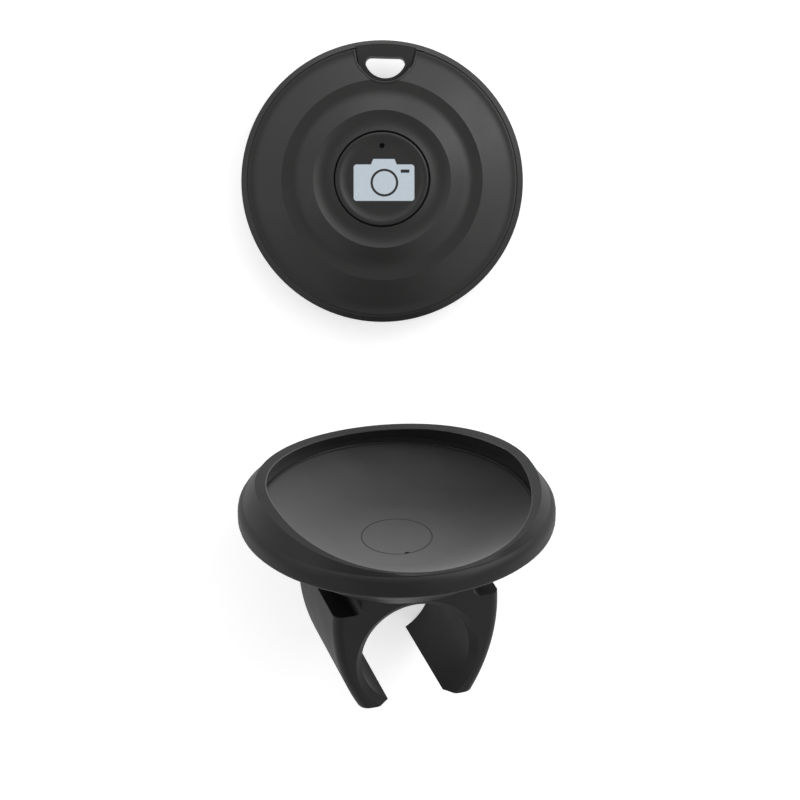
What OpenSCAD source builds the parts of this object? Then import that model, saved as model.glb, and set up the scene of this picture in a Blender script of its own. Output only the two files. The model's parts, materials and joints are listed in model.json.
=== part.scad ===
// Wireless camera shutter remote with its clip-on handlebar cradle.
// The remote lies on its flat back with the button up. The cradle lies beside it on its side.
// Origin: centre of the remote's flat back. +Z up, +Y towards the key-ring loop. Millimetres.

/* [Remote case] */
// Width of the case outside the coin cell
case_room = 10; // [9:0.1:12]
// Width of the flat resting ring round the battery door
back_ring_w = 1.7; // [1.5:0.05:2]
// Height from the flat back to the rim's lower edge
back_rise = 3.4; // [3:0.1:4]
// Height of the upright side of the rim
rim_side_h = 1.05; // [0.8:0.05:1.5]
// Height of the bevel on top of the rim
rim_bevel_h = 0.55; // [0.3:0.05:0.8]
// Width of the bevel on top of the rim
rim_bevel_w = 0.75; // [0.5:0.05:1]
// Wall of the lower case
case_wall = 1.2; // [1:0.05:1.4]
// Width of the ledge that carries the top cover
cover_ledge = 1.05; // [0.8:0.05:1.3]
// Thickness of the top cover at its edge
cover_edge_t = 0.95; // [0.7:0.05:1.2]

/* [Top cover] */
// Wall of the top cover
cover_wall = 1.15; // [0.9:0.05:1.3]
// Width of the sloping band between the cover's edge and the outer step
band_w = 5; // [4.5:0.1:5.5]
// Height of the outer step above the rim
step_rise = 1.95; // [1.8:0.05:2.4]
// Width of the level ring inside the outer step
trough_w = 1.3; // [0.8:0.1:1.7]
// Depth of the level ring's inner edge below the outer step
trough_drop = 0.07; // [0.05:0.01:0.2]
// Distance of the inner crest from the button's side
crest_w = 3.08; // [2.7:0.02:3.6]
// Height of the inner crest above the rim
crest_rise = 3.35; // [3.2:0.05:4]
// Distance of the dish's lowest place from the button's side
dish_w = 1.62; // [1.4:0.02:1.9]
// Depth of the dish below the crest
dish_drop = 0.4; // [0.25:0.05:0.5]
// Depth of the edge of the button's hole below the crest
hole_edge_drop = 0.1; // [0.05:0.05:0.2]

/* [Button] */
// Diameter of the button
button_d = 13.25; // [12.8:0.05:14]
// Travel of the button and of the switch under it
button_travel = 0.3; // [0.2:0.05:0.35]
// Radius of the flat middle of the button
button_flat_r = 4.8; // [4.7:0.05:5.1]
// Depth of the finger dish in the button
button_dish = 0.32; // [0.2:0.01:0.5]
// How far the button's edge stands above the edge of its hole
button_proud = 0.1; // [0.05:0.05:0.3]
// Wall of the button
button_wall = 0.8; // [0.6:0.05:0.9]
// Height of the flange that keeps the button in
button_flange_t = 0.4; // [0.3:0.05:0.5]
// How far the flange reaches past the button's side
button_flange_w = 0.75; // [0.5:0.05:0.9]
// Distance of the light window from the button's centre
led_reach = 4.7; // [4.5:0.05:5]
// Diameter of the light window
led_window_d = 0.7; // [0.6:0.05:1]

/* [Key-ring loop] */
// Half width of the loop's hole
loop_hole_half = 2.8; // [2.5:0.05:3]
// Height of the hole from its round end to its straight edge
loop_hole_h = 3.05; // [2.9:0.05:3.2]
// Height of the hole's round end up to its widest place
loop_low_h = 2; // [1.8:0.05:2.1]
// Material left between the hole and the rim
loop_bar = 2.4; // [2:0.05:2.6]
// Width of the frame round the hole
loop_frame = 0.75; // [0.6:0.01:0.85]
// Half width of the tongue where it meets the rim
tongue_half = 4.4; // [4.2:0.05:5]
// Depth of the tongue's face below the rim
tongue_sink = 0.15; // [0.05:0.01:0.3]
// Turn of the loop about the remote's centre, to the left seen from above
loop_turn = -1.5; // [-3:0.1:3]

/* [Coin cell] */
// Diameter of the coin cell
cell_d = 20; // [19:0.1:20.1]
// Thickness of the coin cell
cell_h = 1.6; // [1.4:0.1:1.8]
// Sheet thickness of the cell's steel can and cap
cell_sheet = 0.25; // [0.2:0.01:0.3]
// Room round the cell, out to the door's upstand ring
cell_room = 0.2; // [0.1:0.05:0.3]
// Height of the room for the contact spring above the cell
contact_room = 0.95; // [0.85:0.05:1.1]

/* [Battery door] */
// Thickness of the battery door
door_t = 1.15; // [1.1:0.05:1.2]
// How far a bayonet lug reaches past the door's edge
lug_reach = 0.85; // [0.6:0.05:0.9]
// Height of a bayonet lug
lug_h = 0.55; // [0.4:0.05:0.6]
// Angle that a bayonet lug spans
lug_angle = 24; // [16:1:26]
// Turn of the door between locked and free
door_turn = 30; // [28:1:40]
// Wall of the door's upstand ring
upstand_wall = 0.7; // [0.5:0.05:0.75]
// Thickness of the sealing ring's cord
seal_d = 0.46; // [0.4:0.01:0.5]

/* [Circuit board] */
// Gap between the circuit board and the top cover's skirt
board_clear = 0.8; // [0.5:0.05:1.1]
// Thickness of the circuit board
pcb_t = 0.8; // [0.6:0.1:0.9]
// Side of the square tact switch
switch_side = 4.6; // [4:0.1:5]
// Height of the tact switch's base
switch_base_h = 0.9; // [0.8:0.05:1]
// Thickness of the switch's metal frame
switch_frame_t = 0.15; // [0.1:0.01:0.2]
// Radius of the switch's plunger
plunger_r = 1.1; // [0.9:0.05:1.3]
// Distance of the screws' centres from the board's edge
screw_edge = 1.75; // [1.6:0.05:1.8]
// Radius of a screw's shank
screw_r = 0.55; // [0.5:0.01:0.6]
// Side of the radio chip
chip_side = 4; // [3:0.1:4.4]
// Height of the radio chip
chip_h = 0.75; // [0.6:0.05:0.85]

/* [Cradle cup] */
// Wall of the cup outside the groove for the remote's rim
cup_wall = 1.45; // [1.2:0.05:2.2]
// Play of the remote's rim in the groove
rim_clear = 0.15; // [0.1:0.05:0.3]
// Height of the rim's crown above its datum plane
rim_rise = 2.5; // [2.2:0.1:2.8]
// Depth of the rim's lower edge below its datum plane
rim_low = 0.6; // [0.3:0.05:0.8]
// Width of the rounding on top of the rim
roll_w = 0.95; // [0.6:0.05:1.1]
// Height of the rounding on top of the rim
roll_h = 1.2; // [0.8:0.05:1.5]
// Rounding under the rim
under_round = 0.75; // [0.4:0.05:0.9]
// How far the ledge that the remote sits on reaches inside its rim
seat_inset = 1.4; // [1.2:0.1:1.7]
// Height of the ledge above the rim's datum plane
seat_rise = 1.15; // [0.9:0.05:1.3]
// How far the lip reaches inside the remote's rim at the two sides
lip_inset = 2.35; // [1.8:0.05:2.6]
// Width of the lip's top where it is high
lip_top_w = 1.55; // [0.8:0.05:1.7]
// Height of the rim at the front thumb scoop
lip_front = 2.66; // [2.5:0.02:2.8]
// Height of the lip at the back
lip_back = 3.85; // [3.7:0.05:4.2]
// Height of the lip at the two sides
lip_side = 5.3; // [4.5:0.1:5.8]
// Depth of the bowl's floor below the rim's datum plane
floor_drop = 3.4; // [3:0.1:3.8]
// Radius of the flat middle of the bowl
floor_r = 8; // [6.5:0.1:9]
// Depth of the cup's flat underside below the rim's datum plane
under_drop = 6.9; // [6.4:0.1:7.4]
// Radius of the cup's flat underside
under_r = 11.8; // [11:0.1:12.5]
// Radius of the plug in the bowl's floor
plug_r = 4.8; // [4.4:0.1:5.2]
// Thickness of the plug's head
plug_t = 1.2; // [0.8:0.1:1.5]
// Radius of the plug's shank
shank_r = 2.5; // [2:0.1:3]

/* [Bar clip] */
// Length of the clip along the bar
clip_l = 19.2; // [17:0.1:21]
// Radius of the bar that the relaxed clip holds
bar_r = 7.7; // [7:0.05:7.9]
// Depth of the bar's axis below the rim's datum plane
bar_drop = 17; // [16.7:0.05:17.4]
// Half of the mouth between the two jaws
mouth_half = 3.4; // [3.2:0.05:4.5]
// Greatest half width across the jaws
jaw_half = 11.7; // [11.2:0.05:12.2]
// Radius of the jaws' bowed outer sides
jaw_bow_r = 27; // [24:0.5:30]
// Depth of the widest place of the jaws below the rim's datum plane
jaw_wide_drop = 10.5; // [10:0.1:12]
// Depth of the jaws' feet below the rim's datum plane
foot_drop = 24; // [23.8:0.1:24.5]
// Depth of the shoulders below the rim's datum plane
shoulder_drop = 8.9; // [8.7:0.05:9.2]
// Half width of the neck between the shoulder notches
neck_half = 7.8; // [7:0.1:8.2]
// Rounding of the jaws' outer ends
jaw_round = 1.3; // [0.6:0.1:1.6]
// Chamfer on the ends of the bar's bore
bore_chamfer = 1; // [0.5:0.05:1.1]

/* [Placing] */
// Angle of the cradle's axis above the table
cradle_lean = 27; // [24:0.5:32]
// Turn of the clip about the cradle's axis
clip_turn = 17.3; // [10:0.1:25]
// Sideways distance of the cradle from the remote
cradle_side = 2.1; // [-5:0.1:5]
// Distance of the cradle's rim centre from the remote's centre
cradle_gap = 46.7; // [44:0.1:60]

/* [Hidden] */
$fn = 96;

// Overrun of every cut past the face it goes through
over = 0.5;
// Running gap round parts that turn or slide
run_gap = 0.1;
// Gap between flat faces that slide on each other
face_gap = 0.05;
// Clearance of parts that are dropped or pressed into place
seat_gap = 0.05;
// Small rounding of moulded edges
edge_round = 0.3;

// Levels of the case
cell_r = cell_d / 2;
case_r = cell_r + case_room;
rim_top = back_rise + rim_side_h + rim_bevel_h;
cover_seat_r = case_r - rim_bevel_w;
cover_r = cover_seat_r - seat_gap;
cavity_r = cover_seat_r - cover_ledge;
cover_seat_z = rim_top - cover_edge_t;
step_r = cover_r - band_w;
trough_r = step_r - trough_w;
button_r = button_d / 2;
crest_r = button_r + crest_w;
dish_r = button_r + dish_w;
step_z = rim_top + step_rise;
trough_z = step_z - trough_drop;
crest_z = rim_top + crest_rise;
dish_z = crest_z - dish_drop;
cover_under_z = dish_z - cover_wall;
outer_straight_share = 0.7;
inner_straight_share = 0.45;
hole_round = 0.1;
cavity_corner_z = back_rise;
skirt_r = cavity_r - run_gap;
skirt_w = 0.8;
skirt_z = cavity_corner_z + run_gap;

// Battery door and well
upstand_r = cell_r + cell_room;
door_r = upstand_r + upstand_wall;
door_hole_r = door_r + run_gap;
floor_t = door_t + face_gap;
lug_r = door_r + lug_reach;
well_r = lug_r + run_gap;
well_wall = 0.9;
back_flat_r = door_hole_r + back_ring_w;
lug_z = floor_t + face_gap;
lug_top = lug_z + lug_h;
finger_reach = 6.2;
finger_half = 2;
finger_w = 1.9;
finger_depth = 0.6;
seal_r = door_r - seal_d / 2 + seat_gap;
groove_h = seal_d + 2 * seat_gap;
groove_depth = seal_d;

// Coin cell
cell_z = door_t + face_gap;
cell_top = cell_z + cell_h;
cap_r = cell_r - 3 * cell_sheet - seat_gap;
cell_step = 0.35;

// Circuit board and what it carries
pcb_r = skirt_r - skirt_w - board_clear;
screw_ring_r = pcb_r - screw_edge;
pcb_z = cell_top + contact_room;
pcb_top = pcb_z + pcb_t;
holder_r = cell_r + 2 * run_gap;
holder_wall = 0.9;
holder_z = lug_top + 2 * run_gap;
contact_t = 0.2;
contact_w = 3;
boss_r = 1.5;
pilot_r = screw_r + seat_gap;
screw_angles = [30, 150, 270];
screw_head_r = 1.1;
screw_head_h = 0.45;
screw_slot_w = 0.3;
screw_reach = 1.3;

// Tact switch and button
switch_top = pcb_top + switch_base_h + switch_frame_t;
dome_r = 1.8;
dome_t = 0.1;
dome_rise = button_travel + 2 * dome_t;
dome_floor = 0.25;
dome_z = pcb_top + dome_floor;
switch_well_r = dome_r + run_gap;
plunger_flange_w = 0.4;
plunger_flange_r = plunger_r + plunger_flange_w;
plunger_base = dome_z + dome_rise;
plunger_stand = 0.4;
plunger_top = switch_top + plunger_stand;
button_hole_r = button_r + 1.5 * run_gap;
hole_edge_z = crest_z - hole_edge_drop;
button_edge_z = hole_edge_z + button_proud;
button_flat_z = button_edge_z - button_dish;
button_under = button_flat_z - button_wall;
flange_top = cover_under_z - face_gap;
flange_z = flange_top - button_flange_t;
flange_r = button_r + button_flange_w;
skirt_wall = 0.7;
stem_r = 1.5;
pad_r = flange_r + edge_round;
part_gap = 0.36;
chip_x = pad_r + part_gap + chip_side / 2;
led_h = 0.6;
led_hole_r = led_window_d / 2 + seat_gap / 2;

// Key-ring loop
loop_edge_y = case_r - loop_bar;
loop_hole_r = (pow(loop_hole_half, 2) + pow(loop_low_h, 2)) / (2 * loop_low_h);
loop_centre_y = loop_edge_y - loop_hole_h + loop_hole_r;
loop_corner_r = 0.85;
loop_end_angle = asin((loop_hole_r - loop_low_h) / loop_hole_r);
tongue_waist_y = loop_edge_y - loop_hole_h / 2;
tongue_z = rim_top - tongue_sink;
tongue_gap = 0.12;
tongue_wall = 0.6;
tongue_waist_share = 0.87;

// Cradle
groove_r = case_r + rim_clear;
cup_r = groove_r + cup_wall;
seat_r = case_r - seat_inset;
lip_r = case_r - lip_inset;
crown_r = cup_r - roll_w;
lip_root_w = 0.7;
cone_share = (seat_r - back_flat_r) / (case_r - back_flat_r);
rim_shoulder_z = seat_rise + back_rise * (1 - cone_share) + rim_side_h + face_gap;
cup_stations = 90;
lip_thin = 0.25;
waist_share = 0.55;
heel_w = 1.5;
heel_share = 0.88;
lip_edge = 0.1;
ledge_h = 0.2;
roll_steps = 3;
waist_in = 0.4;
cup_waist_r = (cup_r + under_r) / 2 - waist_in;
heel_r = under_r + heel_w;
bowl_steps = 12;
bowl_power = 1.7;
jaw_centre = jaw_half - jaw_bow_r;
foot_half = jaw_centre + sqrt(pow(jaw_bow_r, 2) - pow(foot_drop - jaw_wide_drop, 2));
notch_over = 0.15;
notch_r = (shoulder_drop - under_drop) / 2 + notch_over;
clip_top_drop = 4.2;
plug_notch_r = 0.4;
shank_cover = 0.8;
shank_end_drop = bar_drop - bar_r - shank_cover;
corner_reach = (clip_l / 2 - jaw_round) * cos(clip_turn) + (foot_half - jaw_round) * sin(clip_turn) + jaw_round;
cradle_z = cos(cradle_lean) * corner_reach + sin(cradle_lean) * foot_drop;

black = [0.17, 0.17, 0.165];
soft_black = [0.2, 0.205, 0.2];
steel = [0.78, 0.78, 0.76];

// Points of a stretch that is straight for a share of its run and then levels out towards q
function slide(p, q, share, n) = let (rest = (1 - share) * 2 / PI, fall = (q[1] - p[1]) / (share + rest))
  concat([p], [for (i = [0 : n]) [p[0] + (q[0] - p[0]) * (share + (1 - share) * i / n),
    p[1] + fall * (share + rest * sin(90 * i / n))]]);
// The same points in the opposite order
function turned(line) = [for (i = [len(line) - 1 : -1 : 0]) line[i]];
// Points of a stretch that leaves p steeply and reaches q level
function crown(p, q, n) = [for (i = [0 : n - 1])
  [p[0] + (q[0] - p[0]) * i / n, p[1] + (q[1] - p[1]) * sin(90 * i / n)]];
// Points of an arc from angle a to angle b
function arc(c, r, a, b, n) = [for (i = [0 : n]) c + r * [cos(a + (b - a) * i / n), sin(a + (b - a) * i / n)]];

// Upper surface of the top cover, from its edge to the button's hole
cover_line = concat(
  arc([cover_r - edge_round, rim_top - edge_round], edge_round, 0, 70, 3),
  turned(slide([step_r, step_z], [cover_r - 1.5 * edge_round, rim_top], outer_straight_share, 6)),
  turned(slide([crest_r, crest_z], [trough_r, trough_z], inner_straight_share, 7)),
  crown([crest_r, crest_z], [dish_r, dish_z], 6),
  turned(concat(crown([button_hole_r + hole_round, hole_edge_z], [dish_r, dish_z], 6), [[dish_r, dish_z]])),
  [[button_hole_r, hole_edge_z - hole_round]]);

// Plan of the loop's hole: round towards the middle, straight towards the rim
module loop_hole_2d() rotate(loop_turn) {
  corner = loop_corner_r;
  x = loop_hole_half - corner;
  y = loop_edge_y - corner;
  polygon(concat(
    arc([0, loop_centre_y], loop_hole_r, 180 + loop_end_angle, 360 - loop_end_angle, 24),
    arc([x, y], corner, 0, 90, 6), arc([-x, y], corner, 90, 180, 6)));
}

// Plan of the tongue that carries the loop, out to past the rim
module tongue_2d(grow) rotate(loop_turn) {
  waist = tongue_half * tongue_waist_share;
  low_y = tongue_waist_y;
  union() {
    translate([0, loop_centre_y]) circle(r = loop_hole_r + loop_frame + grow);
    polygon([[-waist - grow, low_y - grow], [waist + grow, low_y - grow],
      [tongue_half + grow, cover_seat_r], [tongue_half + grow, case_r + over],
      [-tongue_half - grow, case_r + over], [-tongue_half - grow, cover_seat_r]]);
  }
}

// Ring of equal pieces about the Z axis
module around(angles) {
  for (a = angles) rotate(a) children();
}

// Sector of a flat ring, centred on the +X direction
module ring_sector(r1, r2, angle, h) {
  rotate(-angle / 2) rotate_extrude(angle = angle) translate([r1, 0]) square([r2 - r1, h]);
}

// Outside of the lower case, with the hole for the battery door
case_line = [
  [door_hole_r, 0], [back_flat_r, 0], [back_flat_r + edge_round, edge_round / 3],
  [case_r - 2 * edge_round, back_rise - edge_round], [case_r, back_rise],
  [case_r, back_rise + rim_side_h], [case_r - 2 * rim_bevel_w, rim_top + rim_bevel_h],
  [door_hole_r, rim_top + rim_bevel_h]];

module bottom_housing() {
  door_lugs = [60, 180, 300];
  color(black) difference() {
    rotate_extrude() polygon(case_line);
    case_cavity();
    around([for (a = door_lugs) a + door_turn]) translate([0, 0, -over])
      ring_sector(door_hole_r - over, lug_r + 2 * run_gap, lug_angle + 4, floor_t + 2 * over);
    around(screw_angles) translate([screw_ring_r, 0, pcb_z - screw_reach])
      cylinder(r = pilot_r, h = screw_reach + over);
    translate([0, 0, tongue_z]) linear_extrude(rim_top) tongue_2d(0);
    translate([0, 0, -over]) linear_extrude(rim_top + 2 * over) loop_hole_2d();
  }
}

// Room inside the lower case, round the battery well, the screw bosses and the tongue
module case_cavity() {
  inner_r = door_hole_r - over;
  lower_r = back_flat_r + edge_round;
  difference() {
    rotate_extrude() polygon([
      [inner_r, floor_t], [lower_r, floor_t], [lower_r + case_wall / 2, floor_t + edge_round],
      [cavity_r, cavity_corner_z], [cavity_r, cover_seat_z], [cover_seat_r, cover_seat_z],
      [cover_seat_r, rim_top + 2 * rim_bevel_h], [inner_r, rim_top + 2 * rim_bevel_h]]);
    rotate_extrude() translate([well_r, 0]) square([well_wall, pcb_z]);
    difference() {
      around(screw_angles) translate([screw_ring_r, 0, 0]) cylinder(r = boss_r, h = pcb_z);
      cylinder(r = well_r + over, h = pcb_z + over);
    }
    linear_extrude(rim_top) tongue_2d(-tongue_gap);
  }
}

// The top cover: its relief above, its inside below, and a wall round the key-ring tongue
module top_housing() {
  inner_r = skirt_r - skirt_w;
  outer_fall = step_rise / (outer_straight_share + (1 - outer_straight_share) * 2 / PI);
  skirt_ceiling = step_z - cover_wall - outer_fall * (inner_r - step_r) / (cover_r - 1.5 * edge_round - step_r);
  inside = [for (p = turned(cover_line)) if (p[0] < inner_r)
    [p[0], p[0] < dish_r ? cover_under_z : p[1] - cover_wall]];
  color(black) difference() {
    rotate_extrude() polygon(concat(
      [[button_hole_r, skirt_z], [skirt_r, skirt_z], [skirt_r, cover_seat_z], [cover_r, cover_seat_z]],
      cover_line));
    difference() {
      rotate_extrude() polygon(concat(
        [[button_hole_r - over, cover_under_z]], inside,
        [[inner_r, skirt_ceiling], [inner_r, skirt_z - over], [button_hole_r - over, skirt_z - over]]));
      linear_extrude(crest_z) tongue_2d(tongue_wall);
    }
    translate([0, 0, -over]) linear_extrude(crest_z + 2 * over) tongue_2d(0);
  }
}

module pcb() {
  color([0.07, 0.22, 0.13]) difference() {
    translate([0, 0, pcb_z]) cylinder(r = pcb_r, h = pcb_t);
    around(screw_angles) translate([screw_ring_r, 0, pcb_z - over])
      cylinder(r = screw_r + run_gap, h = pcb_t + 2 * over);
    translate([0, 0, pcb_z - over]) linear_extrude(pcb_t + 2 * over) tongue_2d(tongue_wall + 2 * run_gap);
  }
}

module switch_plate(h) {
  translate([-switch_side / 2, -switch_side / 2, 0]) cube([switch_side, switch_side, h]);
}

module tact_switch_base() {
  color([0.12, 0.12, 0.12]) difference() {
    translate([0, 0, pcb_top]) switch_plate(switch_base_h);
    translate([0, 0, dome_z]) cylinder(r = switch_well_r, h = switch_base_h + over);
  }
}

module tact_switch_frame() {
  leg_w = 0.7;
  leg_t = 0.12;
  top_z = pcb_top + switch_base_h;
  color(steel) {
    difference() {
      translate([0, 0, top_z]) switch_plate(switch_frame_t);
      translate([0, 0, top_z - over]) cylinder(r = plunger_r + run_gap, h = switch_frame_t + 2 * over);
    }
    for (s = [-1, 1]) for (t = [-1, 1])
      translate([s * (switch_side + leg_t) / 2 - leg_t / 2, t * switch_side / 3 - leg_w / 2, pcb_top])
        cube([leg_t, leg_w, switch_base_h + switch_frame_t]);
  }
}

module snap_dome() {
  cap = dome_rise - dome_t - face_gap;
  ball_r = (pow(dome_r, 2) + pow(cap, 2)) / (2 * cap);
  sweep = asin(dome_r / ball_r);
  color(steel) translate([0, 0, dome_z + dome_t]) rotate_extrude() polygon(concat(
    arc([0, cap - ball_r], ball_r, 90 - sweep, 90, 8),
    arc([0, cap - ball_r], ball_r - dome_t, 90, 90 - sweep, 8)));
}

module switch_plunger() {
  flange_h = 0.15;
  color([0.85, 0.83, 0.78]) {
    translate([0, 0, plunger_base]) cylinder(r = plunger_r, h = plunger_top - plunger_base);
    translate([0, 0, plunger_base]) cylinder(r = plunger_flange_r, h = flange_h);
  }
}

module bluetooth_chip() {
  pad_h = 0.08;
  pad_w = 0.24;
  pads = 6;
  pitch = chip_side / (pads + 1);
  color([0.13, 0.13, 0.14]) translate([-chip_x, -chip_side * 0.6, pcb_top]) {
    translate([-chip_side / 2, -chip_side / 2, pad_h]) cube([chip_side, chip_side, chip_h - pad_h]);
    for (turn = [0, 90, 180, 270]) rotate(turn) for (i = [1 : pads])
      translate([chip_side / 2 - pad_w, i * pitch - chip_side / 2 - pad_w / 2, 0])
        cube([1.5 * pad_w, pad_w, 1.5 * pad_h]);
  }
}

module crystal() {
  crystal_l = 3.2;
  crystal_w = 2.5;
  crystal_h = 0.7;
  lid_inset = 0.2;
  base_h = 0.3;
  color(steel) translate([-chip_x, chip_side * 0.78, pcb_top]) {
    translate([-crystal_l / 2, -crystal_w / 2, 0]) cube([crystal_l, crystal_w, base_h]);
    translate([lid_inset - crystal_l / 2, lid_inset - crystal_w / 2, base_h])
      cube([crystal_l - 2 * lid_inset, crystal_w - 2 * lid_inset, crystal_h - base_h]);
  }
}

module chip_antenna() {
  antenna_l = 5.2;
  antenna_w = 1.8;
  antenna_h = 0.7;
  end_l = 0.5;
  color([0.75, 0.72, 0.66]) translate([0, -screw_ring_r * 0.72, pcb_top]) {
    translate([-antenna_l / 2, -antenna_w / 2, face_gap])
      cube([antenna_l, antenna_w, antenna_h - 2 * face_gap]);
    for (s = [-1, 1]) translate([s * (antenna_l - end_l) / 2 - end_l / 2, -antenna_w / 2, 0])
      cube([end_l, antenna_w, antenna_h]);
  }
}

module chip_components() {
  part_l = 1;
  part_w = 0.5;
  part_h = 0.5;
  spots = 5;
  color([0.55, 0.42, 0.28]) for (i = [0 : spots - 1]) for (side = [-1, 1])
    rotate(side * (18 + 11 * i)) translate([screw_ring_r * 0.72 + part_l * (i % 2), 0, pcb_top])
      translate([-part_l / 2, -part_w / 2, 0]) cube([part_l, part_w, part_h]);
}

module status_led() {
  led_l = 1.6;
  led_w = 0.8;
  base_h = 0.25;
  color([0.93, 0.92, 0.85]) translate([0, led_reach, pcb_top]) {
    translate([-led_l / 2, -led_w / 2, 0]) cube([led_l, led_w, base_h]);
    translate([-led_l / 3, -led_w / 2, base_h]) cube([2 * led_l / 3, led_w, led_h - base_h]);
  }
}

module battery_holder() {
  color([0.1, 0.1, 0.1]) difference() {
    translate([0, 0, holder_z]) rotate_extrude()
      translate([holder_r, 0]) square([holder_wall, pcb_z - holder_z]);
    translate([-holder_r - holder_wall - over, -contact_w / 2 - run_gap, holder_z - over])
      cube([2 * holder_wall + over, contact_w + 2 * run_gap, pcb_z - holder_z + 2 * over]);
  }
}

// Upright leaf that touches the side of the cell's can
module positive_contact() {
  foot = 1.6;
  color([0.83, 0.7, 0.42]) translate([-cell_r - face_gap, contact_w / 2, 0]) rotate([90, 0, 0])
    linear_extrude(contact_w) polygon([
      [0, holder_z + face_gap], [-contact_t, holder_z + face_gap], [-contact_t, pcb_z - contact_t],
      [-foot, pcb_z - contact_t], [-foot, pcb_z], [0, pcb_z]]);
}

// Bowed leaf that presses on the cell's cap
module negative_contact() {
  leaf_half = 3.4;
  foot = 1.4;
  bow = contact_room - contact_t - face_gap;
  steps = 12;
  lower = [for (i = [-steps : steps])
    [leaf_half * i / steps, pcb_z - contact_t - bow * (1 + cos(180 * i / steps)) / 2]];
  upper = [for (i = [steps : -1 : -steps])
    [leaf_half * i / steps, pcb_z - bow * (1 + cos(180 * i / steps)) / 2]];
  color([0.83, 0.7, 0.42]) translate([0, contact_w / 2, 0]) rotate([90, 0, 0]) linear_extrude(contact_w)
    polygon(concat([[-leaf_half - foot, pcb_z - contact_t]], lower,
      [[leaf_half + foot, pcb_z - contact_t], [leaf_half + foot, pcb_z]], upper,
      [[-leaf_half - foot, pcb_z]]));
}

module coin_cell_can() {
  color(steel) translate([0, 0, cell_z]) rotate_extrude() polygon([
    [0, 0], [cell_r - cell_sheet, 0], [cell_r, cell_sheet], [cell_r, cell_h - cell_step],
    [cell_r - cell_sheet, cell_h - cell_step + cell_sheet / 2],
    [cell_r - cell_sheet, cell_sheet], [0, cell_sheet]]);
}

module coin_cell_seal() {
  seal_top = cell_h - cell_step + cell_sheet / 2;
  color([0.25, 0.25, 0.3]) translate([0, 0, cell_z + cell_sheet]) rotate_extrude()
    translate([cap_r + seat_gap, 0]) square([cell_r - cell_sheet - cap_r - 2 * seat_gap, seal_top - cell_sheet]);
}

module coin_cell_cap() {
  color(steel) translate([0, 0, cell_z + cell_sheet + face_gap]) rotate_extrude() polygon([
    [0, 0], [cap_r, 0], [cap_r, cell_h - cell_step - cell_sheet],
    [cap_r - cell_step, cell_h - cell_sheet - face_gap], [0, cell_h - cell_sheet - face_gap]]);
}

module pcb_screws() {
  color(steel) around(screw_angles) translate([screw_ring_r, 0, 0]) difference() {
    union() {
      translate([0, 0, pcb_top - screw_reach - pcb_t + run_gap])
        cylinder(r = screw_r, h = screw_reach + pcb_t);
      translate([0, 0, pcb_top]) cylinder(r1 = screw_head_r, r2 = screw_head_r - edge_round, h = screw_head_h);
    }
    for (turn = [0, 90]) rotate(turn)
      translate([-screw_head_r / 2, -screw_slot_w / 2, pcb_top + screw_head_h / 2])
        cube([screw_head_r, screw_slot_w, screw_head_h]);
  }
}

// Silicone bell between the board and the button's flange, which pushes the button up
module return_pad() {
  foot_h = 0.3;
  pad_wall = 0.6;
  color([0.6, 0.6, 0.62]) rotate_extrude() polygon([
    [button_r - edge_round, pcb_top], [pad_r, pcb_top],
    [pad_r, pcb_top + foot_h], [flange_r - edge_round, pcb_top + foot_h],
    [button_r, flange_z], [button_r - pad_wall, flange_z], [button_r - pad_wall, flange_z - foot_h],
    [button_r - edge_round, pcb_top + foot_h]]);
}

module button_cap() {
  edge_r = button_r - edge_round;
  dish = crown([edge_r - edge_round, button_edge_z], [button_flat_r, button_flat_z], 7);
  color(black) difference() {
    rotate_extrude() polygon(concat(
      [[0, plunger_top + face_gap], [stem_r, plunger_top + face_gap], [stem_r, button_under],
        [button_r - skirt_wall, button_under], [button_r - skirt_wall, flange_z],
        [flange_r, flange_z], [flange_r, flange_top], [button_r, flange_top]],
      arc([edge_r, button_edge_z - edge_round], edge_round, 0, 90, 4),
      dish, [[button_flat_r, button_flat_z], [0, button_flat_z]]));
    translate([0, led_reach, 0]) cylinder(r = led_hole_r, h = crest_z + over);
  }
}

module led_lens() {
  head_r = led_hole_r + edge_round;
  head_h = 0.3;
  color([0.08, 0.08, 0.09]) translate([0, led_reach, 0]) {
    translate([0, 0, button_under - face_gap]) cylinder(r = led_window_d / 2, h = button_wall + face_gap);
    translate([0, 0, button_under - face_gap - head_h]) cylinder(r = head_r, h = head_h);
  }
}

module battery_door() {
  lugs = [60, 180, 300];
  color(black) {
    difference() {
      rotate_extrude() polygon([
        [0, 0], [door_r - edge_round / 2, 0], [door_r, edge_round / 2],
        [door_r, (door_t - groove_h) / 2], [door_r - groove_depth, (door_t - groove_h) / 2],
        [door_r - groove_depth, (door_t + groove_h) / 2], [door_r, (door_t + groove_h) / 2],
        [door_r, lug_top], [upstand_r, lug_top], [upstand_r, door_t], [0, door_t]]);
      for (s = [-1, 1]) translate([0, s * finger_reach, -over]) linear_extrude(finger_depth + over) {
        square([2 * finger_half, finger_w], center = true);
        for (t = [-1, 1]) translate([t * finger_half, 0]) circle(d = finger_w);
      }
    }
    around(lugs) translate([0, 0, lug_z]) ring_sector(upstand_r, lug_r, lug_angle, lug_h);
  }
}

module door_gasket() {
  color([0.3, 0.3, 0.32]) translate([0, 0, door_t / 2]) rotate_extrude()
    translate([seal_r, 0]) circle(d = seal_d, $fn = 24);
}

// Stands the cradle on the table: its axis leans, and it rests on one jaw's corner
module lay_cradle() {
  translate([cradle_side, -cradle_gap, cradle_z]) rotate([cradle_lean - 90, 0, 0]) rotate(clip_turn) children();
}

// Height of the lip at an angle from the front scoop: low in front, high at the sides
function lip_height(a) = let (s = pow(sin(a), 2), low = cos(a) > 0 ? lip_front : lip_back)
  low + (lip_side - low) * s;
// Share of its full overhang that the lip has there: none in front, where the thumb reaches in
function lip_share(a) = cos(a) > 0 ? pow(abs(sin(a)), 3) : 1;

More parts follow.
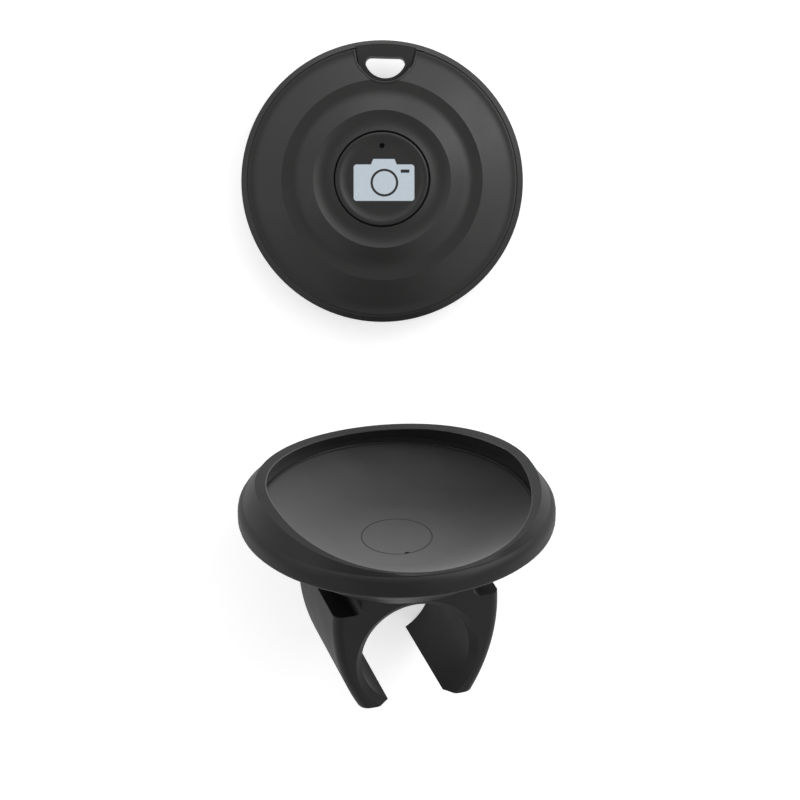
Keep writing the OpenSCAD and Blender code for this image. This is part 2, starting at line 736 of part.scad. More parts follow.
// Section of the cup's wall at an angle from the front scoop, from the plug's hole round to it again
function cup_section(a) = let (
    h = lip_height(a),
    part = lip_share(a),
    floor_z = -floor_drop,
    lip_in = groove_r + (lip_r - groove_r) * part,
    lip_out = lip_in + lip_thin + (lip_top_w - lip_thin) * sqrt(part),
    undercut_z = min(rim_shoulder_z, h - 3 * lip_edge),
    root = [groove_r + lip_root_w, rim_rise + lip_edge],
    low = [cup_r - under_round, under_round - rim_low])
  concat(
    [[shank_r + seat_gap, floor_z - plug_t], [plug_r + seat_gap, floor_z - plug_t],
      [plug_r + seat_gap, floor_z]],
    [for (i = [0 : bowl_steps]) let (t = i / bowl_steps)
      [floor_r + (seat_r - lip_thin - floor_r) * t, floor_z + (seat_rise + floor_drop) * pow(t, bowl_power)]],
    [[seat_r, seat_rise + lip_edge / 5], [groove_r, seat_rise + ledge_h], [groove_r + lip_edge / 2, undercut_z],
      [lip_in + lip_edge, h - 2 * lip_edge], [lip_in, h - lip_edge / 2], [lip_in + lip_edge, h],
      [lip_out, h - lip_edge / 3], root],
    [for (i = [0 : roll_steps]) let (t = 75 * (1 - i / roll_steps))
      [crown_r + roll_w * cos(t), rim_rise - roll_h + roll_h * sin(t)]],
    arc(low, under_round, 0, -90, 3),
    [[cup_waist_r, -under_drop * waist_share], [heel_r, -under_drop * heel_share],
      [under_r, -under_drop], [shank_r + seat_gap, -under_drop]]);

// The cup is lofted: its sections turn about the axis while the lip rises and falls
module cradle_cup() {
  sections = [for (i = [0 : cup_stations - 1]) let (a = 360 * i / cup_stations)
    [for (p = cup_section(a)) [p[0] * sin(a), -p[0] * cos(a), p[1]]]];
  m = len(sections[0]);
  points = [for (s = sections) for (p = s) p];
  faces = [for (i = [0 : cup_stations - 1]) for (j = [0 : m - 1])
    let (i2 = (i + 1) % cup_stations, j2 = (j + 1) % m)
    for (f = [[i * m + j, i2 * m + j, i2 * m + j2], [i * m + j, i2 * m + j2, i * m + j2]]) f];
  color(soft_black) lay_cradle() polyhedron(points = points, faces = faces, convexity = 6);
}

// Disc with rounded edges that bows one jaw's outer side, about an axis along the bar
module jaw_disc(side) {
  half = clip_l / 2;
  inner = jaw_bow_r - jaw_round;
  translate([side * jaw_centre, 0, -jaw_wide_drop]) rotate([90, 0, 0]) rotate_extrude() union() {
    translate([0, -half]) square([inner, clip_l]);
    translate([0, jaw_round - half]) square([jaw_bow_r, clip_l - 2 * jaw_round]);
    for (s = [-1, 1]) translate([inner, s * (half - jaw_round)]) circle(r = jaw_round);
  }
}

// Outline of both jaws' feet and of the block they are cut from, in the plane across the bar
module jaw_outline_2d() {
  foot_round = 1.1;
  tip_round = 0.5;
  tip_lift = 0.4;
  wide = jaw_half + over;
  side = concat(
    [[mouth_half - over, foot_round - foot_drop]],
    arc([mouth_half + tip_round, tip_round + tip_lift - foot_drop], tip_round, 200, 255, 3),
    [[(mouth_half + foot_half) / 2, -foot_drop]],
    arc([foot_half - foot_round / 2, foot_round - foot_drop], foot_round, 270, 325, 4),
    [[wide, foot_round - foot_drop], [wide, -shoulder_drop], [0, -shoulder_drop], [0, foot_round - foot_drop]]);
  for (s = [0, 1]) mirror([s, 0]) polygon(side);
}

module bar_clip() {
  half = clip_l / 2;
  color(soft_black) lay_cradle() difference() {
    union() {
      intersection() {
        jaw_disc(1);
        jaw_disc(-1);
        translate([0, half, 0]) rotate([90, 0, 0]) linear_extrude(clip_l) jaw_outline_2d();
      }
      translate([0, half, 0]) rotate([90, 0, 0]) linear_extrude(clip_l) difference() {
        union() {
          translate([-neck_half - notch_r, -shoulder_drop - over]) square([2 * (neck_half + notch_r), notch_r + over]);
          translate([-neck_half, -shoulder_drop]) square([2 * neck_half, shoulder_drop - clip_top_drop]);
        }
        for (s = [-1, 1]) translate([s * (neck_half + notch_r), notch_r - shoulder_drop]) circle(r = notch_r);
      }
    }
    bar_bore();
    cup_underside();
    translate([0, 0, -shank_end_drop]) cylinder(r = shank_r + seat_gap, h = shank_end_drop);
  }
}

// The bore for the bar, chamfered at both ends
module bar_bore() {
  half = clip_l / 2;
  translate([0, 0, -bar_drop]) rotate([90, 0, 0]) {
    cylinder(r = bar_r, h = clip_l + 2 * over, center = true);
    for (s = [0, 1]) mirror([0, 0, s]) translate([0, 0, half - bore_chamfer])
      cylinder(r1 = bar_r, r2 = bar_r + bore_chamfer + over, h = bore_chamfer + over);
  }
}

// What the cup's underside takes away from the clip's top
module cup_underside() {
  rotate_extrude() polygon([
    [0, -under_drop], [under_r, -under_drop], [heel_r, -under_drop * heel_share],
    [cup_waist_r, -under_drop * waist_share], [cup_r - under_round, -rim_low], [0, -rim_low]]);
}

module cup_plug() {
  color(soft_black) lay_cradle() difference() {
    union() {
      translate([0, 0, -floor_drop - plug_t]) cylinder(r = plug_r, h = plug_t);
      translate([0, 0, -shank_end_drop + run_gap])
        cylinder(r = shank_r, h = shank_end_drop - floor_drop - plug_t - run_gap + seat_gap);
    }
    translate([0, -plug_r, -floor_drop - plug_t - over]) cylinder(r = plug_notch_r, h = plug_t + 2 * over);
  }
}

bottom_housing();
top_housing();
pcb();
tact_switch_base();
tact_switch_frame();
snap_dome();
bluetooth_chip();
crystal();
chip_antenna();
chip_components();
status_led();
battery_holder();
positive_contact();
negative_contact();
coin_cell_can();
coin_cell_seal();
coin_cell_cap();
pcb_screws();
return_pad();
button_cap();
led_lens();
switch_plunger();
battery_door();
door_gasket();
cradle_cup();
bar_clip();
cup_plug();
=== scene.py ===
# %% [markdown]
# # A camera shutter remote and its bar cradle
# The object is a round remote with one big push button, and a cup with a clip below it that
# holds the remote on a handlebar. Both are moulded in black plastic. The solids come from the
# CAD frame, in metres, with the remote's flat back at the origin. This lesson adds the camera,
# the light, the floor, the finishes and the small details that a solid model leaves out. All
# sizes below are in millimetres, and MM turns them into Blender's metres.

# %% Load the frame
import json
import math

import bpy
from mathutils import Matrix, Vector

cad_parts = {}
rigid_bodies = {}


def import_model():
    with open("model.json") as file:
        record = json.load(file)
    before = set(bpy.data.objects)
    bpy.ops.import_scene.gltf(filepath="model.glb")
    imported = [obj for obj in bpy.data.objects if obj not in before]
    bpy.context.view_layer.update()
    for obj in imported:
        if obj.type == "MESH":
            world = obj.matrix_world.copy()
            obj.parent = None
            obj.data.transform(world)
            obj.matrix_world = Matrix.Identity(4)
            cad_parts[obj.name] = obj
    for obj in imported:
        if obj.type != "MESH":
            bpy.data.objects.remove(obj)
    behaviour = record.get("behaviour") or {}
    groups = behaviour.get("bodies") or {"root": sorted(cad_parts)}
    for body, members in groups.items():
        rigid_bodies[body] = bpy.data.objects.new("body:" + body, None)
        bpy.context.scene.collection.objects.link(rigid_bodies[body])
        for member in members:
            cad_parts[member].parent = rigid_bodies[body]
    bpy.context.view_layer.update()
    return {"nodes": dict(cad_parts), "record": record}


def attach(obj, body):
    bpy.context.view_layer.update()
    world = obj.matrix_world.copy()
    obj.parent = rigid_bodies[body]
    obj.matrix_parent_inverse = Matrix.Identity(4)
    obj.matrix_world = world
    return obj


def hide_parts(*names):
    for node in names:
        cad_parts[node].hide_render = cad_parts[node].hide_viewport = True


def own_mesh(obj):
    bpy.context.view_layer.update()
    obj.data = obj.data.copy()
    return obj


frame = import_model()
MM = 0.001
scene = bpy.context.scene
scene.view_settings.view_transform = "Standard"

# %% [markdown]
# The photograph looks straight at the remote's face, from a fair distance, so perspective is
# weak. The camera hangs above the table and looks straight down, with a long lens. Its height
# sets the perspective, and the lens then follows from how many pixels one millimetre of the
# table fills.

# %% Camera
picture_px = 800
px_per_mm = 6.965
camera_height = 400
below_camera = (2.54, -31.10)
camera_data = bpy.data.cameras.new("camera")
camera = bpy.data.objects.new("camera", camera_data)
scene.collection.objects.link(camera)
camera.location = Vector((*below_camera, camera_height)) * MM
camera_data.sensor_width = 36
camera_data.lens = camera_data.sensor_width * px_per_mm * camera_height / picture_px
camera_data.clip_start = 0.01
camera_data.clip_end = 10
scene.camera = camera
print("camera lens", round(camera_data.lens, 1), "mm")

# %% [markdown]
# Shader maths reads badly as a web of nodes. A small class wraps one socket and overloads the
# operators, so that a mask can be written as a Python expression. Each expression adds its
# Math nodes to the material.

# %% Numbers that vary over a surface
class Value:
    """One number that varies over a surface: a socket, with operators that add Math nodes."""

    def __init__(self, finish, socket):
        self.finish = finish
        self.socket = socket

    def apply(self, operation, *others):
        """Puts this value, and others after it, through a Math node."""
        inputs = dict(enumerate([self, *others]))
        node = self.finish.node("ShaderNodeMath", {"operation": operation}, inputs)
        return Value(self.finish, node.outputs[0])

    def __add__(self, other):
        return self.apply("ADD", other)

    def __mul__(self, other):
        return self.apply("MULTIPLY", other)

    def __sub__(self, other):
        return self.apply("SUBTRACT", other)

    def __rsub__(self, other):
        return self * -1 + other

    __radd__ = __add__
    __rmul__ = __mul__

    def smaller(self, other):
        return self.apply("MINIMUM", other)

    def larger(self, other):
        return self.apply("MAXIMUM", other)

    def size(self):
        return self.apply("ABSOLUTE")

    def root(self):
        return self.apply("SQRT")

    def ramp(self, low, high):
        """0 up to low, 1 from high on, and a straight line between."""
        inputs = {0: self, 1: low, 2: high, 3: 0.0, 4: 1.0}
        node = self.finish.node("ShaderNodeMapRange", {"clamp": True}, inputs)
        return Value(self.finish, node.outputs[0])


print("operators ready")

# %% [markdown]
# A finish is one material. Its patterns read the object's own coordinates, so they stay in
# place when the piece moves, and every pattern is sized in millimetres. What is the same all
# over is set on the shader's sockets, and only colour, roughness and the bumps take a pattern.

# %% Finishes
def rgb(r, g, b):
    return (r, g, b, 1.0)


class Finish:
    """A material with one Principled shader, and the means to add nodes to it."""

    def __init__(self, name, roughness, metallic=0.0):
        self.name = name
        self.material = bpy.data.materials.new(name)
        self.material.use_nodes = True
        self.tree = self.material.node_tree
        self.shader = next(node for node in self.tree.nodes if node.type == "BSDF_PRINCIPLED")
        self.shader.inputs["Roughness"].default_value = roughness
        self.shader.inputs["Metallic"].default_value = metallic
        self.place = self.node("ShaderNodeTexCoord", {}, {}).outputs["Object"]

    def node(self, kind, settings, inputs):
        """Adds a node. Settings come first, and an input is a number, a colour or a link."""
        node = self.tree.nodes.new(kind)
        for key, value in settings.items():
            setattr(node, key, value)
        for key, value in inputs.items():
            if isinstance(value, Value):
                value = value.socket
            if isinstance(value, bpy.types.NodeSocket):
                self.tree.links.new(value, node.inputs[key])
            else:
                node.inputs[key].default_value = value
        return node

    def axes(self):
        """The three object coordinates, in millimetres."""
        parts = self.node("ShaderNodeSeparateXYZ", {}, {0: self.place}).outputs
        return [Value(self, part) * (1 / MM) for part in parts]

    def noise(self, size_mm, detail=2.0, stretch=None):
        """Cloudy noise from 0 to 1, with spots about as wide as size_mm."""
        place = self.place
        if stretch:
            place = self.node("ShaderNodeMapping", {}, {"Vector": place, "Scale": stretch}).outputs[0]
        inputs = {"Vector": place, "Scale": 1 / (size_mm * MM), "Detail": detail}
        return Value(self, self.node("ShaderNodeTexNoise", {}, inputs).outputs["Fac"])

    def blend(self, mask, first, second):
        """The first colour where mask is 0 and the second where it is 1."""
        node = self.node("ShaderNodeMix", {"data_type": "RGBA"}, {0: mask, 6: first, 7: second})
        return node.outputs[2]

    def colour(self, socket):
        self.tree.links.new(socket, self.shader.inputs["Base Color"])

    def colour_so_far(self):
        return self.shader.inputs["Base Color"].links[0].from_socket

    def roughness(self, value):
        self.tree.links.new(value.socket, self.shader.inputs["Roughness"])

    def relief(self, height, depth_mm):
        """Bumps of depth_mm where height is 1."""
        bump = self.node("ShaderNodeBump", {}, {"Height": height, "Distance": depth_mm * MM})
        self.tree.links.new(bump.outputs[0], self.shader.inputs["Normal"])


print("finishes can be made")

# %% [markdown]
# A CAD node comes as loose flat triangles. That is fine for a flat board or a chip, which only
# needs a finish. A curved moulding would show every facet under a soft lamp. A modelled copy
# then stands in for the node: its points are merged, gentle angles are shaded as one surface,
# and normals weighted by face area keep the flats flat beside small rounded edges.

# %% Dressing and shells
bodies = frame["record"]["behaviour"]["bodies"]
body_of = {node: body for body, nodes in bodies.items() for node in nodes}
merge_distance = 0.002
sharp_angle = math.radians(28)


def dress(name, finish):
    """Gives a CAD node its finish."""
    node = frame["nodes"][name]
    if not node.material_slots:
        node.data.materials.append(finish.material)
    for slot in node.material_slots:
        slot.material = finish.material


def smooth_shell(node, finish):
    """Stands in for a CAD node: its merged copy, with curved faces shaded as one surface."""
    bpy.ops.object.select_all(action="DESELECT")
    shell = bpy.data.objects.new(node + "_shell", frame["nodes"][node].data.copy())
    scene.collection.objects.link(shell)
    shell.select_set(True)
    bpy.context.view_layer.objects.active = shell
    bpy.ops.object.mode_set(mode="EDIT")
    bpy.ops.mesh.select_all(action="SELECT")
    bpy.ops.mesh.remove_doubles(threshold=merge_distance * MM)
    bpy.ops.mesh.customdata_custom_splitnormals_clear()
    bpy.ops.object.mode_set(mode="OBJECT")
    bpy.ops.object.shade_smooth_by_angle(angle=sharp_angle)
    bpy.ops.object.modifier_add(type="WEIGHTED_NORMAL")
    shell.modifiers[-1].keep_sharp = True
    bpy.ops.object.modifier_apply(modifier=shell.modifiers[-1].name)
    shell.data.materials.clear()
    shell.data.materials.append(finish.material)
    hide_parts(node)
    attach(shell, body_of[node])
    print(node, "shell has", len(shell.data.polygons), "faces")
    return shell


print("nodes with a body:", len(body_of))

# %% [markdown]
# The background of the photograph is pure white. The floor is pale, and a white glow that only
# the camera and mirror-like reflections see lifts it to white without lighting the object. The
# glow only just lifts the lit floor to white, so the soft shadow beside the cradle stays.

# %% Floor
floor_side_m = 3
floor_drop = 0.02
camera_glow = 0.55
mirror_glow = 0.2
bpy.ops.object.select_all(action="DESELECT")
bpy.ops.mesh.primitive_plane_add(size=floor_side_m, location=(0, 0, -floor_drop * MM))
floor = bpy.context.object
floor.name = "floor"
ground = Finish("white_table", roughness=0.6)
rays = ground.node("ShaderNodeLightPath", {}, {}).outputs
mirrored = Value(ground, rays["Is Glossy Ray"]).larger(Value(ground, rays["Is Transmission Ray"]))
glow = Value(ground, rays["Is Camera Ray"]) * camera_glow + mirrored * mirror_glow
ground.shader.inputs["Base Color"].default_value = rgb(0.8, 0.8, 0.8)
ground.shader.inputs["Emission Strength"].default_value = 1.0
ground.tree.links.new(glow.socket, ground.shader.inputs["Emission Color"])
floor.data.materials.append(ground.material)
print("floor at", floor.location.z)

# %% [markdown]
# Matt black plastic shows its shape by the soft lamps that it reflects. In the photograph the
# faces that look at the camera are darkest, and slopes towards the top, the left and above all
# the upper right are lighter. So the sky is dim, and eight large soft lamps stand in a ring
# round the table, the key lamp at the upper right and none below. Each is placed by its turn
# from the right-hand side and its rise above the table.

# %% Light
world = bpy.data.worlds.new("studio")
scene.world = world
world.use_nodes = True
sky = world.node_tree.nodes["Background"]
sky.inputs["Color"].default_value = rgb(1, 1, 1)
sky.inputs["Strength"].default_value = 0.4
lit_point = Vector((0, -30, 5)) * MM


def lamp(name, turn, rise, power, reach=480, wide=280, tall=200):
    """A soft lamp that faces the object, with its angles in degrees and its power in watts."""
    data = bpy.data.lights.new(name, "AREA")
    data.shape = "RECTANGLE"
    data.size = wide * MM
    data.size_y = tall * MM
    data.energy = power
    level = math.cos(math.radians(rise))
    along = math.cos(math.radians(turn)) * level
    across = math.sin(math.radians(turn)) * level
    outwards = Vector((along, across, math.sin(math.radians(rise))))
    light = bpy.data.objects.new(name, data)
    scene.collection.objects.link(light)
    light.location = lit_point + outwards * reach * MM
    light.rotation_euler = (-outwards).to_track_quat("-Z", "Y").to_euler()


lamp("key", turn=40, rise=32, power=0.88)
lamp("top", turn=90, rise=28, power=0.33)
lamp("back", turn=90, rise=6, power=0.32, reach=420, wide=400, tall=90)
lamp("upper_left", turn=135, rise=32, power=0.26)
lamp("left", turn=180, rise=28, power=0.24)
lamp("right", turn=0, rise=42, power=0.34)
lamp("front_left", turn=225, rise=35, power=0.11)
lamp("front_right", turn=315, rise=35, power=0.17)

# %% [markdown]
# ## Moulded black plastic
# The cases are moulded in a tool with a fine matt texture. Real moulded black is never quite
# even: it is a dark grey with faint cloudy patches, a fine grain that scatters the light, and
# rubbed places that shine a little more. Three noises at three sizes give that. The remote's
# black is a little warm, and the cradle's is darker and duller.

# %% Black plastics
def moulded(name, dark, light, roughness, grain_mm, grain_depth_mm):
    """Matt plastic with cloudy patches, a fine grain and a shine that varies a little."""
    cloud_mm = 9.0
    shine_mm = 4.0
    shine_swing = 0.12
    finish = Finish(name, roughness)
    grain = finish.noise(grain_mm, detail=1.0)
    patches = (finish.noise(cloud_mm, detail=3.0) * 0.7 + grain * 0.3).ramp(0.3, 0.7)
    finish.colour(finish.blend(patches, dark, light))
    finish.roughness(finish.noise(shine_mm, detail=4.0) * shine_swing + (roughness - shine_swing / 2))
    finish.relief(grain, grain_depth_mm)
    return finish


warm_dark = rgb(0.0105, 0.0102, 0.0098)
warm_light = rgb(0.0145, 0.0142, 0.0136)
cool_dark = rgb(0.0052, 0.0054, 0.0055)
cool_light = rgb(0.0078, 0.0081, 0.0082)
case_black = moulded("case_black", warm_dark, warm_light, 0.48, grain_mm=0.16, grain_depth_mm=0.006)
cradle_black = moulded("cradle_black", cool_dark, cool_light, 0.5, grain_mm=0.22, grain_depth_mm=0.005)
cradle_black.shader.inputs["Specular IOR Level"].default_value = 0.38
print("two blacks:", case_black.name, cradle_black.name)

# %% [markdown]
# ## The bowl of the cup, with painted light
# The bowl's plastic is silky. Its colour is painted paler towards the front, a little more at
# the left, with a ragged edge: painted light, where the bowl catches the light. The painted
# light is measured across the bowl from the cup's axis, so it needs the cup's middle and the way
# that its axis leans. The joint round the plug in the floor shows as a hair-thin black line at
# the plug's radius.

# %% Bowl finish
cup_middle = Vector((2.1, -46.7, 20.912))
cup_lean = math.radians(27)
cup_axis = Vector((0, math.cos(cup_lean), math.sin(cup_lean)))
plug_r = 4.83
bowl_black = moulded("bowl_black", rgb(0.006, 0.006, 0.0061), rgb(0.009, 0.0091, 0.0092), 0.64,
                     grain_mm=0.3, grain_depth_mm=0.006)
bowl_black.shader.inputs["Sheen Weight"].default_value = 0.5
bowl_black.shader.inputs["Sheen Roughness"].default_value = 0.4
x, y, z = bowl_black.axes()
aside = x - cup_middle.x
toward_front = (z - cup_middle.z) * cup_axis.y - (y - cup_middle.y) * cup_axis.z

# Painted light: the bowl's colour turns pale towards its front and a little to its left.
painted_light_skew = 0.45
painted_light_ragged = 3.0
painted_light_starts = -14.0
painted_light_full = 11.0
ragged_edge = (bowl_black.noise(painted_light_ragged, detail=3.0, stretch=(0.4, 1.0, 1.0)) - 0.5) * painted_light_ragged
painted_light = (toward_front - aside * painted_light_skew + ragged_edge).ramp(painted_light_starts, painted_light_full)
# The pale tone that the painted light reaches at the bowl's front.
bowl_with_painted_light = bowl_black.blend(painted_light, bowl_black.colour_so_far(), rgb(0.105, 0.1055, 0.105))

line_half = 0.05
line_fades = 0.13
from_axis = (aside * aside + toward_front * toward_front).root()
plug_line = 1 - (from_axis - plug_r).size().ramp(line_half, line_fades)
bowl_black.colour(bowl_black.blend(plug_line, bowl_with_painted_light, rgb(0.003, 0.003, 0.003)))
print("bowl leans", round(math.degrees(cup_lean)), "degrees")

# %% [markdown]
# The six visible mouldings each get a smooth shell. The cup is one moulding with two finishes,
# so the faces of its bowl take the bowl's finish, with its painted light, as a second material.
# A face belongs to the bowl if it lies inside the groove and either looks towards the axis or is
# part of the floor.

# %% Moulded parts
for name in ("bottom_housing", "top_housing", "battery_door"):
    smooth_shell(name, case_black)
for name in ("cradle_cup", "bar_clip", "cup_plug"):
    smooth_shell(name, cradle_black)

bowl_r = 20.3
bowl_bottom = -4.25
floor_top = 1.3
looks_in = 0.3
looks_up = 0.2
cup_shell = bpy.data.objects["cradle_cup_shell"]
cup_shell.data.materials.append(bowl_black.material)
bowl_faces = 0
for face in cup_shell.data.polygons:
    arm = face.center / MM - cup_middle
    height = arm.dot(cup_axis)
    spoke = arm - cup_axis * height
    is_wall = face.normal.dot(spoke) < -looks_in * spoke.length
    is_floor = face.normal.dot(cup_axis) > looks_up and height < floor_top
    if spoke.length < bowl_r and height > bowl_bottom and (is_wall or is_floor):
        face.material_index = 1
        bowl_faces += 1
bpy.data.objects["cup_plug_shell"].data.materials[0] = bowl_black.material
print("faces of the bowl", bowl_faces)

# %% [markdown]
# ## Three thin beads
# The top cover meets the rim in a seam that the moulded edge nearly closes, a raised line runs
# along the cover's edge round the key-ring hole, and a fine line runs round the cup's ledge
# where the remote's rim sits. Each is a round line that follows a path, so a curve with a bevel
# makes it, and it becomes a mesh once its shape is right. Two of them lie on a surface that
# slopes, so a ray is sent from each of their points to find how high the surface is there.

# %% Bead helpers
def bead(name, points, thick, body, closed=False):
    """A round line through the points, half sunk in what carries it."""
    curve = bpy.data.curves.new(name, "CURVE")
    curve.dimensions = "3D"
    curve.bevel_depth = thick / 2 * MM
    curve.bevel_resolution = 3
    curve.use_fill_caps = True
    line = curve.splines.new("POLY")
    line.use_cyclic_u = closed
    line.points.add(len(points) - 1)
    for knot, point in zip(line.points, points):
        knot.co = (*(Vector(point) * MM), 1)
    piece = bpy.data.objects.new(name, curve)
    scene.collection.objects.link(piece)
    bpy.ops.object.select_all(action="DESELECT")
    piece.select_set(True)
    bpy.context.view_layer.objects.active = piece
    bpy.ops.object.convert(target="MESH")
    bpy.ops.object.shade_smooth()
    piece.data.materials.append(case_black.material)
    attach(piece, body)
    print(name, "has", len(piece.data.polygons), "faces")


def surface_spot(shell_name, start, way):
    """Where a ray from start meets a shell, or start itself where it meets nothing."""
    hit, spot, _, _ = bpy.data.objects[shell_name].ray_cast(start * MM, way)
    return spot / MM if hit else start


def polar(radius, degrees, middle_y=0.0):
    """A point on a circle whose middle is on the remote's line of symmetry."""
    angle = math.radians(degrees)
    return radius * math.cos(angle), middle_y + radius * math.sin(angle)


print("bead helpers ready")

# %% [markdown]
# The seam leaves out the stretch where the key-ring loop crosses the rim. The loop's line goes
# down one side of the tongue, round below the hole and up the other side, and the loop sits a
# little askew on the remote.

# %% Seam and loop beads
seam_r = 19.225
seam_z = 4.9
seam_turns = range(104, 434, 2)
seam_line = [(*polar(seam_r, turn), seam_z) for turn in seam_turns]
bead("seam_bead", seam_line, thick=0.2, body="remote")

hole_y = 17.51
loop_r = 3.83
loop_askew = math.radians(-1.5)
loop_sunk = 0.05
down = [(-4.53, 18.5), (-4.37, 17.9), (-4.22, 17.2), (-4.06, 16.6), (-3.84, 16.1), (-3.5, 15.6)]
below = [polar(loop_r, turn, hole_y) for turn in range(218, 324, 5)]
up = [(-along, across) for along, across in reversed(down)]
loop_line = []
for along, across in down + below + up:
    turned_along = along * math.cos(loop_askew) - across * math.sin(loop_askew)
    turned_across = along * math.sin(loop_askew) + across * math.cos(loop_askew)
    above = Vector((turned_along, turned_across, 20))
    spot = surface_spot("top_housing_shell", above, Vector((0, 0, -1)))
    loop_line.append((turned_along, turned_across, spot.z - loop_sunk))
bead("loop_bead", loop_line, thick=0.32, body="remote")

# %% [markdown]
# The ledge lies under the lip's overhang, so its rays start below the lip and go down along the
# cup's axis. The line takes the remote's black, which is a little lighter than the cup's.

# %% Ledge bead
ledge_r = 18.8
ledge_start = 1.6
ledge_lift = 0.05
to_right = Vector((1, 0, 0))
to_back = cup_axis.cross(to_right)
ledge_line = []
for turn in range(0, 360, 3):
    ledge_x, ledge_y = polar(ledge_r, turn)
    start = cup_middle + to_right * ledge_x + to_back * ledge_y + cup_axis * ledge_start
    ledge_line.append(surface_spot("cradle_cup_shell", start, -cup_axis) + cup_axis * ledge_lift)
bead("ledge_bead", ledge_line, thick=0.26, body="cradle", closed=True)

# %% [markdown]
# ## The printed icon
# A pale grey camera is printed on the button. Ink has no thickness to speak of, so it belongs in
# the button's material. The outline is worked out as distances in millimetres from the button's
# centre: a rounded box for the camera's body, a small roof with sloping sides, and a ring and a
# dash where the black shows through. A distance below zero is inside, so the smaller of two
# distances joins two shapes, and the larger cuts one with the other.

# %% Icon outline
def rounded_box(x, y, left, right, low, high, corner):
    """Distance to a box with rounded corners."""
    across = (x - (left + right) / 2).size() - ((right - left) / 2 - corner)
    along = (y - (low + high) / 2).size() - ((high - low) / 2 - corner)
    beyond_x = across.larger(0.0)
    beyond_y = along.larger(0.0)
    outside = (beyond_x * beyond_x + beyond_y * beyond_y).root()
    return outside + across.larger(along).smaller(0.0) - corner


def camera_icon(x, y):
    """Distance to the whole icon."""
    body = rounded_box(x, y, left=-3.98, right=4.56, low=-3.08, high=2.04, corner=0.43)
    roof_middle = 0.27
    roof_foot = 2.04
    roof_half = 1.82
    roof_lean = 0.435
    roof = rounded_box(x, y, left=-1.55, right=2.09, low=0.0, high=2.81, corner=0.12)
    slope = (x - roof_middle).size() + (y - roof_foot) * roof_lean - roof_half
    roof = roof.larger(slope * (1 / math.hypot(1, roof_lean)))
    lens_x = 0.34
    lens_y = -0.52
    lens_r = 1.79
    ring_half = 0.165
    from_lens = ((x - lens_x) * (x - lens_x) + (y - lens_y) * (y - lens_y)).root()
    ring = (from_lens - lens_r).size() - ring_half
    dash = rounded_box(x, y, left=2.64, right=3.87, low=0.87, high=1.33, corner=0.05)
    return body.smaller(roof).larger(ring * -1).larger(dash * -1)


print("icon outline ready")

# %% [markdown]
# The ink's edge is softened over a few hundredths of a millimetre, as print is. A second mask
# keeps the ink on the button's top face, because the outline goes right through the solid. Up
# close the ink is faintly speckled.

# %% Button finish
ink_soft = 0.03
face_low = 7.7
face_high = 7.8
button_black = moulded("button_black", warm_dark, warm_light, 0.46, grain_mm=0.16, grain_depth_mm=0.006)
x, y, z = button_black.axes()
ink = (1 - camera_icon(x, y).ramp(-ink_soft, ink_soft)) * z.ramp(face_low, face_high)
speckle = button_black.noise(0.35, detail=2.0).ramp(0.3, 0.7)
inked = button_black.blend(speckle, rgb(0.506, 0.58, 0.639), rgb(0.55, 0.621, 0.68))
button_black.colour(button_black.blend(ink, button_black.colour_so_far(), inked))
smooth_shell("button_cap", button_black)
print("icon printed on the button")

# %% [markdown]
# ## Inside the case
# What the case holds shows only when it is opened, but each piece still gets its own finish:
# brushed steel on the cell, gold-flashed springs, a green board with paler tracks, and dark
# chips with a faint grain. Metal differs from plastic in two ways here: the shader's metallic
# value, and noise stretched into streaks along the way that the sheet was rolled.

# %% Kinds of inner finish
def metal(name, dark, light, roughness, stretch):
    """Sheet metal with fine streaks."""
    streak_swing = 0.2
    finish = Finish(name, roughness, metallic=1.0)
    streak = finish.noise(1.2, detail=3.0, stretch=stretch)
    finish.colour(finish.blend(streak, dark, light))
    finish.roughness(streak * streak_swing + (roughness - streak_swing / 2))
    finish.relief(streak, 0.002)
    return finish


def flecked(name, dark, light, roughness, size_mm, depth_mm):
    """Plastic, rubber or ceramic with a faint fleck."""
    fleck_swing = 0.1
    finish = Finish(name, roughness)
    fleck = finish.noise(size_mm, detail=3.0)
    finish.colour(finish.blend(fleck.ramp(0.35, 0.65), dark, light))
    finish.roughness(fleck * fleck_swing + (roughness - fleck_swing / 2))
    finish.relief(fleck, depth_mm)
    return finish


def board_green():
    """Green lacquer over woven glass, with a grid of slightly raised paler tracks."""
    gap_turn = 0.5
    track_half = 0.12
    track_soft = 0.05
    finish = Finish("board_green", 0.35)
    x, y, _ = finish.axes()
    across = ((x * gap_turn).apply("SINE").size() - track_half).ramp(0.0, track_soft)
    along = ((y * gap_turn).apply("SINE").size() - track_half).ramp(0.0, track_soft)
    track = 1 - across.smaller(along)
    weave = finish.noise(0.6, detail=1.0)
    lacquer = finish.blend(weave, rgb(0.012, 0.09, 0.035), rgb(0.018, 0.12, 0.05))
    finish.colour(finish.blend(track, lacquer, rgb(0.04, 0.22, 0.09)))
    finish.relief(track, 0.03)
    return finish


print("three kinds of inner finish")

# %% [markdown]
# Each finish below gives its dark and light tone, its roughness, and the size and depth of its
# fleck, or the way that its streaks are stretched. The light window is nearly black glass with
# hardly any shine, as in the photograph.

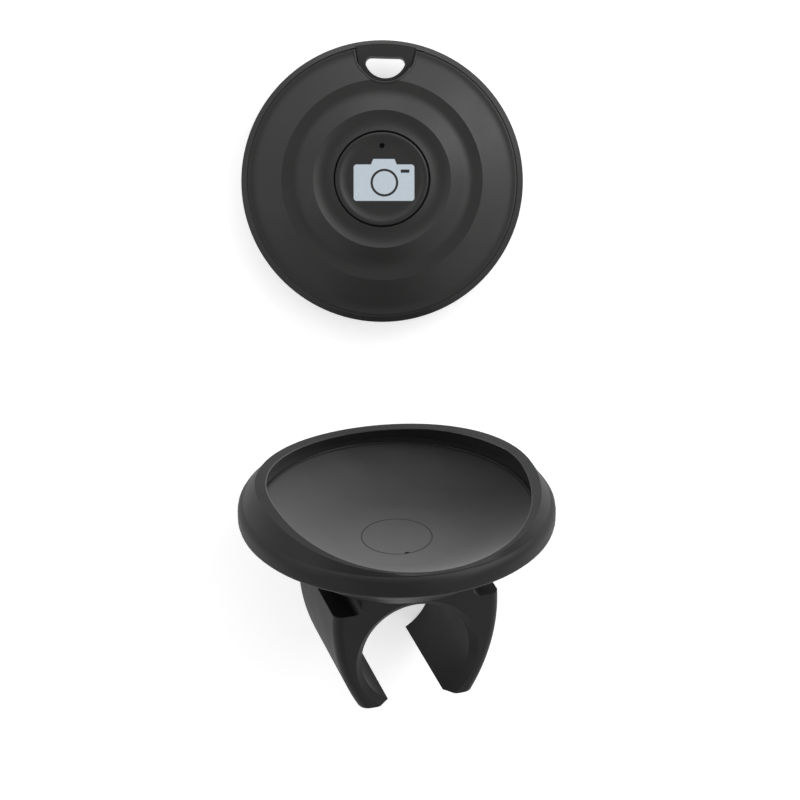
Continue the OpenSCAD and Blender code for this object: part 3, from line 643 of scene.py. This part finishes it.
# %% Inner finishes
steel = metal("sheet_steel", rgb(0.55, 0.55, 0.54), rgb(0.72, 0.72, 0.7), 0.32, (1, 8, 1))
gold = metal("spring_brass", rgb(0.68, 0.5, 0.24), rgb(0.85, 0.68, 0.36), 0.28, (8, 1, 1))
zinc = metal("zinc_steel", rgb(0.5, 0.5, 0.52), rgb(0.66, 0.67, 0.68), 0.36, (1, 1, 6))
epoxy = flecked("chip_black", rgb(0.012, 0.012, 0.013), rgb(0.028, 0.028, 0.03), 0.5, 0.15, 0.004)
ceramic = flecked("ceramic_tan", rgb(0.42, 0.33, 0.22), rgb(0.58, 0.49, 0.36), 0.6, 0.2, 0.004)
led_white = flecked("led_white", rgb(0.75, 0.72, 0.55), rgb(0.88, 0.86, 0.74), 0.25, 0.2, 0.002)
nylon = flecked("holder_black", rgb(0.018, 0.018, 0.018), rgb(0.035, 0.035, 0.035), 0.55, 0.3, 0.006)
silicone = flecked("silicone", rgb(0.36, 0.36, 0.37), rgb(0.44, 0.44, 0.45), 0.62, 0.6, 0.004)
rubber = flecked("seal_rubber", rgb(0.012, 0.012, 0.012), rgb(0.024, 0.024, 0.024), 0.7, 0.3, 0.006)
acetal = flecked("plunger_white", rgb(0.66, 0.64, 0.58), rgb(0.76, 0.74, 0.68), 0.42, 0.4, 0.003)
lens = flecked("lens_dark", rgb(0.0015, 0.0015, 0.002), rgb(0.003, 0.003, 0.0035), 0.2, 0.4, 0.001)
lens.shader.inputs["Specular IOR Level"].default_value = 0.05
inner = {
    "tact_switch_base": epoxy, "tact_switch_frame": steel, "snap_dome": steel, "bluetooth_chip": epoxy,
    "crystal": steel, "chip_antenna": ceramic, "chip_components": ceramic, "status_led": led_white,
    "battery_holder": nylon, "positive_contact": gold, "negative_contact": gold, "coin_cell_can": steel,
    "coin_cell_seal": nylon, "coin_cell_cap": steel, "pcb_screws": zinc, "return_pad": silicone,
    "led_lens": lens, "switch_plunger": acetal, "door_gasket": rubber, "pcb": board_green(),
}
for name, finish in inner.items():
    dress(name, finish)
print("inner finishes on", len(inner), "nodes")

# %% [markdown]
# The return pad and the snap dome give way when the button is pressed. Each gets a smooth
# shell with a mesh of its own.

# %% Pieces that give way
for name in ("return_pad", "snap_dome"):
    shell = smooth_shell(name, inner[name])
    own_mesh(shell)

# %% [markdown]
# The last cell ends the script and hands the scene over.

# %% Finish
print("scene ready")
